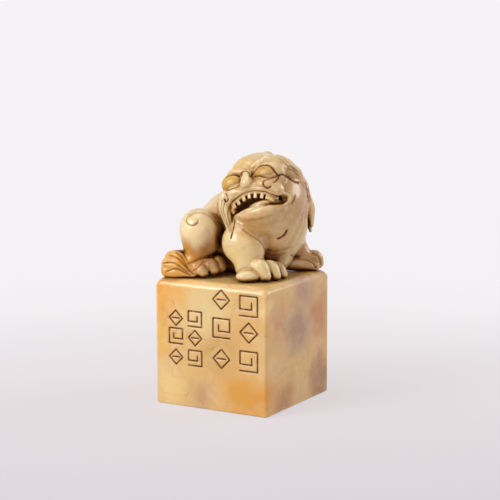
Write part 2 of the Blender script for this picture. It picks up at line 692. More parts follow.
# %% Strokes of the face, each as pixels, half width in mm, depth in mm and stain
def open_ring(centre, radius, start, end, squeeze=1.0):
    """The pixels of an open ring, from one angle to another, clockwise from the right."""
    angles = np.radians(np.linspace(start, end, 10))
    across = centre[0] + radius * np.cos(angles)
    down = centre[1] + squeeze * radius * np.sin(angles)
    return np.stack([across, down], 1)


face_strokes = {
    "left_eye_top": ([(251.5, 176.5), (254, 171.5), (257, 168.5), (261, 165.8), (266, 164.8), (270, 166),
                      (273, 169), (275.5, 172.5), (278.2, 175.8)], 0.24, 0.3, 1),
    "left_eye_foot": ([(278.2, 175.8), (273, 177.8), (268, 177.8), (262, 176.5), (257, 176.2),
                       (252, 177.2)], 0.22, 0.2, 0.8),
    "under_ear": ([(278.2, 175.8), (281, 174.5), (285, 175.5), (289, 178), (295, 182), (299, 182.5)],
                  0.26, 0.32, 0.95),
    "eye_to_curl": ([(280.2, 175.5), (277, 180), (274, 182.5)], 0.24, 0.24, 0.85),
    "left_curl": (open_ring((267.4, 183.7), 4.5, -75, -325), 0.23, 0.26, 1),
    "bridge": ([(241, 175.5), (241.5, 172.4), (244, 171), (247, 171.2), (249.5, 173.5), (250.4, 176.8)],
               0.22, 0.2, 0.8),
    "right_eye_top": ([(226.8, 177.2), (229, 175.8), (232, 175), (236, 175), (239.5, 176.5)],
                      0.24, 0.28, 1),
    "right_eye_foot": ([(226.6, 189.6), (228.6, 190), (232, 188.6), (237, 187), (239.6, 184.6)],
                       0.24, 0.22, 0.8),
    "nose_left_side": ([(250.6, 184.8), (252.6, 182), (256, 180.2), (261, 178.6)], 0.24, 0.22, 0.3),
    "right_nostril": ([(226, 193.5), (227, 196.5)], 0.23, 0.22, 1),
    "right_curl": ([(224.5, 199.2), (225.4, 201.6), (227.6, 201.4), (228, 198.8)], 0.23, 0.22, 1),
    "lip_line": ([(229.5, 204), (233, 198.2), (238.6, 191.8), (245.5, 187.9), (254, 186.4),
                  (262.6, 187.4), (270, 190), (276, 193.6)], 0.24, 0.16, 0.2),
    "under_lip": ([(238, 219), (246, 221.5), (256, 220.5), (268, 217.5), (279, 212), (285, 207.5)],
                  0.6, 0.2, 0.05),
    "lip_edge": ([(240, 214.5), (247, 211), (256, 207.4), (268, 205), (280, 203.6)], 0.3, 0.15, 0.1),
    "cheek_mark": ([(295, 196.4), (293.8, 200.5), (292.2, 203.6)], 0.3, 0.22, 0.6),
    "forehead_crease": ([(263, 154.5), (259.5, 158.5), (256.6, 163), (254, 168)], 0.5, 0.3, 0.08),
    "crown_hair": ([(270.5, 155.5), (276.5, 157), (283, 161.5), (288, 167)], 0.22, 0.2, 0.35),
    "crown_edge_hair": ([(275, 153.8), (283, 158), (290, 164.5), (295.4, 172)], 0.22, 0.2, 0.4),
}
print(len(face_strokes), "strokes on the face")

# %% Strokes of the body, written the same way
body_strokes = {
    "beside_jaw": ([(234.5, 221), (233, 229), (230.7, 238)], 0.24, 0.3, 1),
    "foreleg_crease": ([(243.4, 229.4), (249, 234), (256, 238.4), (262, 243.6), (265.4, 250.5)],
                       0.28, 0.25, 0.4),
    "chest_mark": ([(278, 239), (281.5, 237.6), (284.8, 234.8), (286.8, 231)], 0.34, 0.35, 1),
    "throat_crease": ([(240, 224), (248, 227), (258, 228), (268, 226.5), (276, 223.5)], 1.1, 0.35, 0.06),
    "chest_fold": ([(265.7, 250.3), (275, 252.2), (284, 251.3), (291, 248.5)], 0.45, 0.35, 0.28),
    "lower_chest_fold": ([(268, 256), (277, 257), (285, 254.5)], 0.45, 0.35, 0.28),
    "thigh_curl": (open_ring((192.2, 220.4), 6.2, 0, 265, 0.85), 0.22, 0.22, 0.5),
    "thigh_curl_core": ([(197.5, 222.5), (193.5, 225.6)], 0.26, 0.2, 0.5),
    "thigh_edge": ([(188.5, 214.6), (196, 212.3), (204, 212.8), (212, 217.5), (217.5, 226), (220, 236)],
                   0.4, 0.25, 0.25),
    "shin": ([(188.9, 263.7), (195, 261.3), (202.3, 258), (211.2, 257)], 0.32, 0.3, 0.6),
    "ankle": ([(193.4, 270.7), (198, 266.5), (204.8, 261)], 0.32, 0.3, 0.5),
    "far_paw": ([(291.2, 255.8), (300, 259.2), (306.5, 259.8), (312.3, 262.6), (316, 268)],
                0.28, 0.3, 0.6),
    "far_toes": ([(312.4, 253), (316.6, 255), (319.6, 258.8), (321.2, 264.6)], 0.3, 0.3, 0.5),
}
print(len(body_strokes), "strokes on the body")

# %% Strokes of hair, flutes and tail, where those of a kind share one shape
HAIR_SHAPE, FLUTE_SHAPE, TAIL_SHAPE = (0.24, 0.26, 0.45), (0.8, 0.35, 0.05), (0.24, 0.28, 0.6)
hair_starts = [[(222, 200), (220.5, 209), (223, 218), (228, 228)],
               [(225.2, 202), (223.4, 211), (226.4, 221), (229.6, 231)],
               [(229.4, 208), (228, 215), (230, 223), (231, 232)],
               [(217.5, 203), (217.8, 212), (222, 223)],
               [(300.4, 181.6), (304.4, 187), (307.4, 194), (308.8, 202)],
               [(302.8, 181.6), (306.6, 187), (309.2, 193), (310.4, 199)],
               [(289, 166.6), (293, 167.6), (298, 172)], [(288, 169), (292.4, 170.4), (297.4, 175)]]
hair_strokes = {f"hair_{i}": (pixels, *HAIR_SHAPE) for i, pixels in enumerate(hair_starts)}
flute_starts = [[(306, 210), (304.4, 224), (299, 238), (291, 250), (282, 258.6)],
                [(303, 214), (300.6, 226), (295, 238), (287, 249), (278, 256.6)],
                [(299.4, 220), (296.6, 229), (291, 240), (284, 249)]]
flute_strokes = {f"flute_{i}": (pixels, *FLUTE_SHAPE) for i, pixels in enumerate(flute_starts)}
tail_starts = [[(162.8, 263.3), (170, 262.2), (176.7, 263.9), (181, 267.2), (187.5, 272)],
               [(166.7, 271.7), (172.2, 269.4), (177.8, 268.9), (183.3, 271.7), (190, 275)],
               [(169, 255), (177, 258), (183, 263), (190, 271)]]
tail_strokes = {f"tail_{i}": (pixels, *TAIL_SHAPE) for i, pixels in enumerate(tail_starts)}
tail_strokes["tail_side"] = ([(176.7, 252.2), (182.2, 257.2), (185.6, 263.9), (190, 270.6),
                              (197, 276.6)], 0.34, 0.3, 0.55)
strokes = {**face_strokes, **body_strokes, **hair_strokes, **flute_strokes, **tail_strokes}
print(len(strokes), "strokes")

# %% From pixels to the stone
lion_place = np.array((0, 0, shaft_height))
NEAREST_STONE = 30  # mm. A ray starts this far short of the middle of the shaft's top
SIGHT_STEPS, SIGHT_SHARE = 60, 0.8  # steps are a little short, as the distances are nearly exact
FINENESS = 8  # points drawn along a stroke for each pixel that is given


def met(starts, ways, form):
    """The points where lines of sight first meet a form."""
    gone = np.zeros(len(ways))
    for _ in range(SIGHT_STEPS):
        gone += SIGHT_SHARE * form(starts + gone[:, None] * ways)
    return starts + gone[:, None] * ways


def on_stone(pixels, form):
    """The points of a form that the photograph shows at these pixels, in the lion's frame."""
    across, down = (pixels.T - PHOTO_SIDE / 2) / FOCAL_PIXELS
    ways = np.outer(across, rolled_right) - np.outer(down, rolled_up) - np.array(camera_back)
    ways /= np.linalg.norm(ways, axis=1)[:, None]
    eye_point = np.array(camera_spot) / MM - lion_place
    return met(eye_point + (np.linalg.norm(eye_point) - NEAREST_STONE) * ways, ways, form)


fine_pixels = [smooth_path(pixels, FINENESS * len(pixels)) for pixels, *_ in strokes.values()]
ends = np.cumsum([len(pixels) for pixels in fine_pixels])[:-1]
traced = np.split(on_stone(np.vstack(fine_pixels), lion), ends)
print(sum(len(spots) for spots in traced), "rays followed to the stone")

# %% Steady strokes
STROKE_SPACING = 0.12
LONGEST_STEP = 1
SMOOTHING = 20


def evenly(spots):
    """The same line with evenly spaced points. A jump from one mass to the next is kept short."""
    steps = np.linalg.norm(np.diff(spots, axis=0), axis=1)
    along = np.concatenate([[0], np.cumsum(np.minimum(steps, LONGEST_STEP))])
    even = np.linspace(0, along[-1], max(int(along[-1] / STROKE_SPACING), 2))
    return np.stack([np.interp(even, along, spots[:, i]) for i in range(spots.shape[1])], 1)


def steadied(path):
    """The same line without the small shakes that a slanting view gives it."""
    for _ in range(SMOOTHING):
        path[1:-1] = (path[:-2] + 2 * path[1:-1] + path[2:]) / 4
    return path


cuts = [(steadied(evenly(spots)), *shape) for spots, (_, *shape) in zip(traced, strokes.values())]
print(sum(len(path) for path, *_ in cuts), "points along the strokes")

# %% [markdown]
# The photograph doesn't show the back of the stamp. There the locks of the mane are parted by deep
# grooves with finer hair between them, and the far thigh has the same curl as the near one. These
# strokes start from the locks' own paths, and rays from outside bring them onto the skin.

# %% Strokes of the hidden side
HEAD_REACH, LOCK_REACH = 20, 3.8
NAPE_STEPS, FEWEST_POINTS = 40, 3
FAR_SIDE = 30
LOCK_SPREAD = NAPE_ANGLES[1] - NAPE_ANGLES[0]
nape_lines = []  # each as its angle, where it starts and ends along the lock, and its shape
for angle in NAPE_ANGLES:
    nape_lines.append((angle + LOCK_SPREAD / 2, 0.12, 0.9, 0.4, 0.5, 0.6))
    nape_lines.append((angle - LOCK_SPREAD / 6, 0.3, 0.85, 0.24, 0.22, 0.4))
    nape_lines.append((angle + LOCK_SPREAD / 6, 0.2, 0.85, 0.24, 0.22, 0.4))
paths = [smooth_path(nape_path(angle), NAPE_STEPS)[int(NAPE_STEPS * low):int(NAPE_STEPS * high)]
         for angle, low, high, *_ in nape_lines]
along = np.vstack(paths)
ways = along - NAPE_MIDDLE
ways /= np.linalg.norm(ways, axis=1)[:, None]
starts = (along + HEAD_REACH * ways) @ head_turn.T + head_centre
nape_ends = np.cumsum([len(path) for path in paths])[:-1]
traced = met(starts, -ways @ head_turn.T, lion)
on_lock = np.linalg.norm(traced - along @ head_turn.T - head_centre, axis=1) < LOCK_REACH
nape_parts = zip(np.split(traced, nape_ends), np.split(on_lock, nape_ends), nape_lines)
for spots, kept, (_, _, _, *shape) in nape_parts:
    if kept.sum() > FEWEST_POINTS:
        cuts.append((steadied(evenly(spots[kept])), *shape))
curl = open_ring((-8.6, 13.4), 1.8, 180, -85)
curl_starts = np.column_stack([curl[:, 0], np.full(len(curl), FAR_SIDE), curl[:, 1]])
curl_ways = np.tile((0.0, -1.0, 0.0), (len(curl), 1))
cuts.append((steadied(evenly(met(curl_starts, curl_ways, lion))), 0.26, 0.28, 0.75))
print(len(cuts), "cuts")

# %% [markdown]
# A chisel takes stone away, so each point of the skin near a stroke is pressed in, deepest on the
# line and fading to both sides. The brown of the rubbed-in wax fades the same way. Polish can't reach
# into creases either, so each point also learns how closed in it is: from it, short steps outwards
# are taken, and the less room they find, the more closed in it is.

# %% Pressing the strokes in
STRETCH = 12
CUT_REACH, FAR = 2.5, 9.0  # half widths after which a cut has faded, and mm past any cut


def boxed(points, path, margin):
    """Whether each point lies in the box of a path, a margin wider."""
    return np.all((points > path.min(0) - margin) & (points < path.max(0) + margin), axis=1)


def engraved(points, outward, strokes):
    """Points pressed in along the strokes, and how much brown each one holds."""
    sunk, ink = np.zeros(len(points)), np.zeros(len(points))
    for path, width, depth, stain in strokes:
        near = np.flatnonzero(boxed(points, path, CUT_REACH * width))
        gap = np.full(len(near), FAR)
        for stretch in np.array_split(path, math.ceil(len(path) / STRETCH)):
            inside = boxed(points[near], stretch, CUT_REACH * width)
            gaps = np.linalg.norm(points[near][inside][:, None] - stretch[None], axis=2)
            gap[inside] = np.minimum(gap[inside], gaps.min(1, initial=FAR))
        fall = np.exp(-(gap / width) ** 2)
        sunk[near] += depth * fall
        ink[near] = np.maximum(ink[near], stain * fall)
    return points - sunk[:, None] * outward, ink


print("a cut reaches", CUT_REACH, "half widths to each side")

# %% How closed in a point is
HOLLOW_REACHES = (0.6, 1.6, 3.6, 7)
TOP_ROUND = 2.2


def round_box(points, half_sizes, rounding):
    """How far each point is from a box with round edges, whose centre is the origin."""
    past = np.abs(points) - (np.array(half_sizes) - rounding)
    return np.linalg.norm(np.maximum(past, 0), axis=1) + np.minimum(past.max(1), 0) - rounding


def hollowness(form, points, outward):
    """How closed in each point is: 0 in the open, 1 at the bottom of a cut."""
    closed = np.zeros(len(points))
    for reach in HOLLOW_REACHES:
        free = np.clip(form(points + reach * outward) / min(reach, REACH), 0, 1)
        closed += (1 - free) / len(HOLLOW_REACHES)
    return closed


bar_size = (half, half, shaft_height / 2)
bar = Form(lambda points: round_box(points + (0, 0, shaft_height / 2), bar_size, TOP_ROUND),
           (-half, -half, -shaft_height), (half, half, 0))
stone = joined(SHARP, lion, bar)
print("an open point:", hollowness(bar, np.array([[half, 0, -half]]), np.array([[1.0, 0, 0]]))[0])

# %% Carving any form
def carved(name, form, low, high, grid, around):
    """A form's skin with the strokes pressed in, closed in by the forms around it."""
    points, quads = skin(form, low, high, grid)
    points = settled(form, points, quads, grid)
    outward = ways_out(points, quads)
    hollow = hollowness(around, points, outward)
    points, ink = engraved(points, outward, cuts)
    return mesh_object(name, points + lion_place, quads.tolist(), hollow, ink)


print("ready to carve", len(cuts), "cuts")

# %% The lion's skin
GRID = 0.22
LION_MARGIN = 1
UNDER_TOP = 0.6  # mm that the lion's skin goes down into the shaft
lion_floor = (*lion.low[:2] - LION_MARGIN, -UNDER_TOP)
lion_piece = carved("carved_lion", lion, lion_floor, lion.high + LION_MARGIN, GRID, stone)

# %% [markdown]
# ## Teeth, tongue and eyes
# Under the lip runs a gum with a row of small teeth, parted by single saw cuts, and a fang at each
# end. They are a few tenths of a millimetre apart, so they get a finer skin of their own, seated
# in the gum. The tongue and the two polished eyes are finished apart too.

# %% Small pieces
FINE_GRID = 0.12
FINE_MARGIN = 0.5
SEATED = 0.1  # mm of crease between a small piece and the stone round it


def fine_piece(name, form):
    """A small piece with its own finer skin, seated in the lion."""
    around = joined(SEATED, stone, form)
    return carved(name, form, form.low - FINE_MARGIN, form.high + FINE_MARGIN, FINE_GRID, around)


def block(centre, half_sizes, rounding, turn):
    """A box with round edges. The columns of its turn are its own three axes."""
    extent = np.abs(turn) @ np.array(half_sizes)
    return Form(lambda points: round_box((points - centre) @ turn, half_sizes, rounding),
                centre - extent, centre + extent)


print("small pieces on a grid of", FINE_GRID, "mm")

# %% Gum, teeth and fangs
TEETH = 11
TOOTH, TOOTH_ROUND = (0.57, 0.5, 1.0), 0.3
TOOTH_DROP, TOOTH_OUT = 0.75, 0.05
gum_path = arch((7, -7.2, -4.8), (5.6, -8.5, -3.4), (0, -9.1, -1.9))
gum_line = smooth_path(gum_path, TEETH + 1)
small_teeth = []
for before, spot, after in zip(gum_line, gum_line[1:], gum_line[2:]):
    along = (after - before) / np.linalg.norm(after - before)
    out = np.cross(along, (0, 0, 1))
    out = out / np.linalg.norm(out)
    root = np.cross(out, along)
    seat = spot - TOOTH_DROP * root + TOOTH_OUT * out
    small_teeth.append(block(seat, TOOTH, TOOTH_ROUND, np.column_stack([along, out, root])))
fangs = joined(0.3, egg((5.6, -8, -4.5), (0.95, 0.9, 1.4)), egg((-6.2, -8, -5.2), (0.8, 0.8, 1.3)))
teeth = on_head(joined(0.15, limb(gum_path, [0.6], 24), fangs, *small_teeth))
teeth_piece = fine_piece("upper_teeth_row", teeth)

# %% Tongue and eyes
tongue_piece = fine_piece("tongue_wedge", on_head(tongue_skin))
right_eye_piece = fine_piece("right_eye_dome", on_head(right_eye_skin))
left_eye_piece = fine_piece("left_eye_dome", on_head(left_eye_skin))
print("tongue and eyes are", SHELL, "and", EYE_SHELL, "mm proud of the lion's skin")

# %% [markdown]
# ## The shaft
# The shaft is sawn square and rubbed flat on wet paper. Its edges are only broken, and the edge
# under the lion is worn round by fingers. A cube with bevelled edges would have no points to press
# marks into, so the shaft is laid up in rings, whose points are closest along the panel.

# %% One ring of the shaft
CORNER_STEPS = 8
PANEL_STEP = 0.2
PLAIN_SIDE_STEPS = 30
side_counts = [int(shaft_width / PANEL_STEP)] + [PLAIN_SIDE_STEPS] * 3


def square_ring(half_width, rounding, height):
    """Points round a square with round corners, closest along the panel's side."""
    points = []
    for side, count in enumerate(side_counts):
        angle = math.radians(-90 + 90 * side)
        out = np.array((math.cos(angle), math.sin(angle)))
        along = np.array((-out[1], out[0]))
        straight = half_width - rounding
        for share in np.linspace(-1, 1, count, endpoint=False):
            points.append(out * half_width + along * share * straight)
        middle = straight * (out + along)
        for step in range(CORNER_STEPS):
            bend = angle + math.radians(90) * step / CORNER_STEPS
            points.append(middle + rounding * np.array((math.cos(bend), math.sin(bend))))
    return np.column_stack([points, np.full(len(points), height)])


print(len(square_ring(half, 1, 0)), "points in a ring")

# %% Rings of the shaft
EDGE_ROUND, CORNER_ROUND = 1, 2.8
RIM_WIDTH, CUT_DEPTH = 1.5, 0.8
BOTTOM_BREAK = 0.35
TOP_STEPS = 8
SHARP_CORNER = 0.01
INNERMOST, INNERMOST_TOP = 0.05, 0.2
TOP_RING_STEP = 0.5
ground_half = half - RIM_WIDTH
rings = [square_ring(size, SHARP_CORNER, CUT_DEPTH)
         for size in (INNERMOST, ground_half / 2, ground_half)]
rings.append(square_ring(ground_half, SHARP_CORNER, 0))
rings.append(square_ring(half - BOTTOM_BREAK, EDGE_ROUND, 0))
side_top = shaft_height - TOP_ROUND
side_levels = np.linspace(BOTTOM_BREAK, side_top, int((side_top - BOTTOM_BREAK) / PANEL_STEP))
rings += [square_ring(half, EDGE_ROUND, level) for level in side_levels]
for share in np.linspace(0, 1, TOP_STEPS + 1)[1:]:
    inset = TOP_ROUND * (1 - math.cos(share * math.pi / 2))
    level = side_top + TOP_ROUND * math.sin(share * math.pi / 2)
    rings.append(square_ring(half - inset, EDGE_ROUND + share * (CORNER_ROUND - EDGE_ROUND), level))
top_half = half - TOP_ROUND
rings += [square_ring(size, CORNER_ROUND * size / top_half, shaft_height)
          for size in np.arange(top_half - TOP_RING_STEP, INNERMOST_TOP, -TOP_RING_STEP)]
print(len(rings), "rings of", len(rings[0]), "points")

# %% [markdown]
# The near side of the shaft is cut with a pointed steel, and the lines are rubbed with dark ink:
# four columns of frets and lozenges, 4 to 5.5 mm high, with lines about 0.4 mm wide. They could be
# painted on as a picture, but a cut has a lit edge and a dark one. So each motif is a path that is
# pressed in, in the same way as the carver's strokes.

# %% The incised pattern
LINE, LINE_DEPTH = 0.22, 0.25
LINE_POINTS = 12


def fret(size):
    """A squared spiral in a square of the given size, from its outer end inwards."""
    path, spot, length = [(0, 0)], np.zeros(2), size
    for turn, way in enumerate([(1, 0), (0, 1), (-1, 0), (0, -1), (1, 0), (0, 1)]):
        if turn in (3, 5):
            length -= size / 3
        spot = spot + length * np.array(way)
        path.append(tuple(spot))
    return [np.array(path) - size / 2]


def lozenge(size):
    """A diamond with a short bar across its middle."""
    diamond = np.array([(0, -1), (1, 0), (0, 1), (-1, 0), (0, -1)]) * size / 2
    dash = np.array([(-0.5, 0), (0.5, 0)]) * size / 2
    return [diamond, dash]


# each column as its middle, the heights of its marks, what they are, and their size in mm
panel_columns = [
    (12.0, (29.8, 22.6, 14.8), (fret, lozenge, fret), 5.4),
    (3.5, (30.8, 23.0, 14.6), (lozenge, fret, lozenge), 5.2),
    (-4.8, (24.6, 19.4, 13.8), (fret, lozenge, fret), 4.2),
    (-10.9, (24.4, 19.4, 13.6), (lozenge, fret, lozenge), 4.2),
]
panel_cuts = []
for across, heights, motifs, size in panel_columns:
    for place_in_column, (height, motif) in enumerate(zip(heights, motifs)):
        flip = -1 if place_in_column % 2 else 1
        for line in motif(size):
            runs = [np.linspace(a, b, LINE_POINTS) for a, b in zip(line, line[1:])]
            x, z = evenly(np.vstack(runs)).T
            path = np.stack([across + flip * x, np.full(len(x), -half), height + z], 1)
            panel_cuts.append((path, LINE, LINE_DEPTH, 1))
print(len(panel_cuts), "lines on the panel")

# %% The shaft's skin
SHARP_ANGLE = 40
LIFT, SHAFT_GRIME = 0.05, 0.6  # mm off the shaft's top, and how much of the brown the flat top keeps
shaft_points = np.vstack(rings)
ring_size = len(rings[0])
ring_of, at = np.meshgrid(np.arange(len(rings) - 1), np.arange(ring_size), indexing="ij")
first, second = ring_of * ring_size + at, ring_of * ring_size + (at + 1) % ring_size
shaft_faces = np.stack([first, second, second + ring_size, first + ring_size], -1)
shaft_faces = shaft_faces.reshape(-1, 4).tolist()
last_ring = len(shaft_points) - ring_size
shaft_faces += [list(range(ring_size))[::-1], list(range(last_ring, len(shaft_points)))]

panel_way = np.tile((0.0, -1.0, 0.0), (len(shaft_points), 1))
shaft_points, shaft_ink = engraved(shaft_points, panel_way, panel_cuts)
up = np.tile((0.0, 0.0, 1.0), (len(shaft_points), 1))
under_lion = hollowness(lion, shaft_points - lion_place + LIFT * up, up)
shaft_hollow = np.where(shaft_points[:, 2] > side_top, SHAFT_GRIME * under_lion, 0)
shaft_piece = mesh_object("polished_shaft", shaft_points, shaft_faces, shaft_hollow, shaft_ink)
shaft_piece.data.set_sharp_from_angle(angle=math.radians(SHARP_ANGLE))

# %% [markdown]
# The printing face below is cut back inside its rim, so that a relief stands in it and takes up the
# ink: four squared frets, one in each quarter. Each is drawn as an outline and pulled up from the
# cut ground. That is simpler than cutting the ground away round it, and the flat faces stay flat.

# %% Printing relief
FRET_BAND, FRET_TURNS = 1.6, 5
SEAT = 0.2  # mm that a band goes into the ground it stands on
fret_margin = 1.25 * FRET_BAND
fret_size = ground_half - fret_margin
ways = [np.array(way, float) for way in ((1, 0), (0, 1), (-1, 0), (0, -1))]
bends = [np.array((fret_margin, fret_margin), float)]
for turn in range(FRET_TURNS):
    length = fret_size - FRET_BAND - (turn + 1) // 2 * 2 * FRET_BAND
    bends.append(bends[turn] + length * ways[turn % 4])


def fret_edge(side):
    """One side of the band, half a band away from the line through its bends."""
    edge = []
    for i, bend in enumerate(bends):
        before, after = ways[max(i - 1, 0) % 4], ways[min(i, FRET_TURNS - 1) % 4]
        spot = bend + side * FRET_BAND / 2 * np.array((-before[1], before[0]))
        if not np.allclose(before, after):
            spot = spot + side * FRET_BAND / 2 * np.array((-after[1], after[0]))
        if i == 0:
            spot = spot - before * FRET_BAND / 2
        if i == FRET_TURNS:
            spot = spot + after * FRET_BAND / 2
        edge.append(spot)
    return edge


outline = fret_edge(-1) + fret_edge(1)[::-1]
relief_points, relief_faces = [], []
for quarter in range(4):
    spin = np.array(Matrix.Rotation(math.radians(90 * quarter), 2))
    flat = np.array(outline) @ spin.T
    first, count = len(relief_points), len(flat)
    for height in (0, CUT_DEPTH + SEAT):
        relief_points += [(*spot, height) for spot in flat]
    foot = [first + i for i in range(count)]
    top = [first + count + i for i in range(count)]
    relief_faces += [foot[::-1], top]
    relief_faces += [[foot[i - 1], foot[i], top[i], top[i - 1]] for i in range(count)]
clean = np.zeros(len(relief_points))
relief_piece = mesh_object("printing_relief", np.array(relief_points), relief_faces, clean, clean,
                           smooth=False)

# %% [markdown]
# ## The stone
# The stone is soapstone of the carving kind: fine, waxy and a little translucent, cut with steel and
# polished with paper and wax. Light goes a millimetre or two into it, so its shadows are warm and
# its edges glow. It is clouded from cream to honey and pink, and brown sits wherever the polishing
# cloth can't reach. The clouds are placed by hand in millimetres, and noise blurs their edges. A
# picture could be laid on the shape instead, but it would smear round the carving, while colour that
# is set in space runs through the stone as it does in the real bar.

# %% Colour in the stone
CLOUD_WANDER, CLOUD_PUSH = 9, 11  # mm between the bends of a cloud's edge, and how wide they swing
CLOUD_START, CLOUD_FULL = 1.2, 0.2  # where a cloud begins and where it is full, in its reaches
MILK_SIZE, VEIN_SIZE = 5, 14  # mm across a milky patch and between two veins
MILK, VEIN = "f0dfb8", "8f6a4a"


def coloured(tree, mm, clouds, milkiness, vein_strength):
    """Layers of colour inside the stone, each as its share of cover and a hex colour."""
    drift = node(tree, "TexNoise", {"Vector": mm, "Scale": 1 / CLOUD_WANDER, "Detail": 3.0})
    centred = node(tree, "VectorMath", {0: drift.outputs["Color"], 1: (0.5, 0.5, 0.5)},
                   operation="SUBTRACT")
    pushed = node(tree, "VectorMath", {0: centred.outputs[0], 1: (CLOUD_PUSH,) * 3, 2: mm},
                  operation="MULTIPLY_ADD")
    layers = []
    for spot, reach, shade, strength in clouds:
        gap = node(tree, "VectorMath", {0: pushed.outputs[0], 1: spot}, operation="DISTANCE")
        share = node(tree, "MapRange", {
            "Value": gap.outputs["Value"], "From Min": reach * CLOUD_START,
            "From Max": reach * CLOUD_FULL, "To Max": strength}, interpolation_type="SMOOTHSTEP")
        layers.append((share.outputs[0], shade))

    noise = node(tree, "TexNoise", {"Vector": mm, "Scale": 1 / MILK_SIZE, "Detail": 5.0,
                                    "Distortion": 0.6})
    milky = node(tree, "MapRange", {"Value": noise.outputs["Fac"], "From Min": 0.45,
                                    "From Max": 0.72, "To Max": milkiness})
    noise = node(tree, "TexNoise", {"Vector": mm, "Scale": 1 / VEIN_SIZE, "Detail": 4.0,
                                    "Distortion": 0.8})
    level = node(tree, "Math", {0: noise.outputs["Fac"], 1: 0.5}, operation="SUBTRACT")
    level = node(tree, "Math", {0: level.outputs[0]}, operation="ABSOLUTE")
    veined = node(tree, "MapRange", {"Value": level.outputs[0], "From Min": 0.006, "From Max": 0.0,
                                     "To Max": vein_strength})
    return layers + [(milky.outputs[0], MILK), (veined.outputs[0], VEIN)]


print("clouds wander every", CLOUD_WANDER, "mm")

# %% [markdown]
# Years of handling leave brown wax and dust in each cut, thin at the rim and nearly black at the
# bottom. It could be painted on by hand. Here the two values at each point decide it: "hollow" for
# the creases between masses and "ink" for the chisel's lines. Noise makes both a little ragged.

# %% Brown in the cuts
GRIME_SIZE = 1.6  # mm across a fleck
HOLLOW_BROWNS = ((0.14, 0.5, 0.7, "b07c2a"), (0.42, 0.74, 0.85, "74400e"), (0.66, 0.92, 0.95, "2a0f06"))
INK_BROWNS = ((0.0, 0.5, 0.85, "93591c"), (0.4, 0.9, 1.0, "361804"))


def browned(tree, mm):
    """Layers of brown in the hollows and the cuts, and how matt they leave the stone."""
    grime = node(tree, "TexNoise", {"Vector": mm, "Scale": 1 / GRIME_SIZE, "Detail": 4.0})
    ragged = node(tree, "MapRange", {"Value": grime.outputs["Fac"], "To Min": -0.14, "To Max": 0.14})
    worn = node(tree, "MapRange", {"Value": grime.outputs["Fac"], "From Min": 0.3, "From Max": 0.5,
                                   "To Min": 0.6})
    hollow = node(tree, "Attribute", attribute_name="hollow").outputs["Fac"]
    ink = node(tree, "Attribute", attribute_name="ink").outputs["Fac"]
    depth = node(tree, "Math", {0: hollow, 1: ragged.outputs[0]}, operation="ADD").outputs[0]
    line = node(tree, "Math", {0: ink, 1: worn.outputs[0]}, operation="MULTIPLY").outputs[0]
    layers = []
    for value, curve, browns in ((depth, "SMOOTHSTEP", HOLLOW_BROWNS), (line, "LINEAR", INK_BROWNS)):
        for low, high, strength, brown in browns:
            share = node(tree, "MapRange", {"Value": value, "From Min": low, "From Max": high,
                                            "To Max": strength}, interpolation_type=curve)
            layers.append((share.outputs[0], brown))
    grimy = node(tree, "MapRange", {"Value": depth, "From Min": 0.35, "From Max": 0.8, "To Max": 0.9})
    matt = node(tree, "Math", {0: line, 1: grimy.outputs[0]}, operation="MAXIMUM").outputs[0]
    return layers, matt


print(len(HOLLOW_BROWNS) + len(INK_BROWNS), "browns")

# %% [markdown]
# The stone is rubbed with ever finer paper and then waxed. Its gloss isn't even, because wax builds
# up in patches, and it is lost where the cloth can't reach. Soapstone's index of refraction is about
# 1.56, and light goes furthest into it in red.

# %% Waxed soapstone
POLISHED = 0.16
WAX_PATCH, WAX_CHANGE = 3, 0.16  # mm across a patch of wax, and how much rougher it is beside one
PIT_SIZE = 0.7  # mm. The paper's scratches are under 0.1 mm, too fine to show, so they are coarser
PIT_DEPTH = 0.1  # mm
SOAPSTONE_IOR = 1.56
LIGHT_DEPTH = 1.6  # mm that red light goes into the stone, which warms the shadows and thin edges


def soapstone(name, base, clouds, milkiness, vein_strength, roughness=POLISHED):
    """Polished soapstone: a base colour, and clouds of (place, reach, colour, strength) in mm."""
    material = bpy.data.materials.new(name)
    material.use_nodes = True
    tree = material.node_tree
    tree.nodes.clear()
    place = node(tree, "TexCoord").outputs["Object"]
    mm = node(tree, "VectorMath", {0: place, "Scale": 1 / MM}, operation="SCALE").outputs[0]
    browns, matt = browned(tree, mm)
    colour = linear(base)
    for share, shade in coloured(tree, mm, clouds, milkiness, vein_strength) + browns:
        mixed = node(tree, "Mix", {0: share, MIX_A: colour, MIX_B: linear(shade)}, data_type="RGBA")
        colour = mixed.outputs[MIX_OUT]

    polish = node(tree, "TexNoise", {"Vector": mm, "Scale": 1 / WAX_PATCH, "Detail": 3.0})
    waxed = node(tree, "MapRange", {"Value": polish.outputs["Fac"], "To Min": roughness,
                                    "To Max": roughness + WAX_CHANGE})
    rough = node(tree, "MapRange", {"Value": matt, "To Min": waxed.outputs[0], "To Max": 0.8})
    gloss = node(tree, "MapRange", {"Value": matt, "To Min": 0.5, "To Max": 0.05})
    coat = node(tree, "MapRange", {"Value": matt, "To Min": 0.1, "To Max": 0.0})
    pits = node(tree, "TexNoise", {"Vector": mm, "Scale": 1 / PIT_SIZE, "Detail": 3.0})
    bump = node(tree, "Bump", {"Height": pits.outputs["Fac"], "Strength": 0.06,
                               "Distance": PIT_DEPTH * MM})
    wax = node(tree, "BsdfPrincipled", {
        "Base Color": colour, "Roughness": rough.outputs[0], "IOR": SOAPSTONE_IOR,
        "Specular IOR Level": gloss.outputs[0], "Normal": bump.outputs[0],
        "Subsurface Weight": 0.45, "Subsurface Radius": (1.0, 0.6, 0.25),
        "Subsurface Scale": LIGHT_DEPTH * MM,
        "Coat Weight": coat.outputs[0], "Coat Roughness": 0.12})
    node(tree, "OutputMaterial", {"Surface": wax.outputs[0]})
    return material


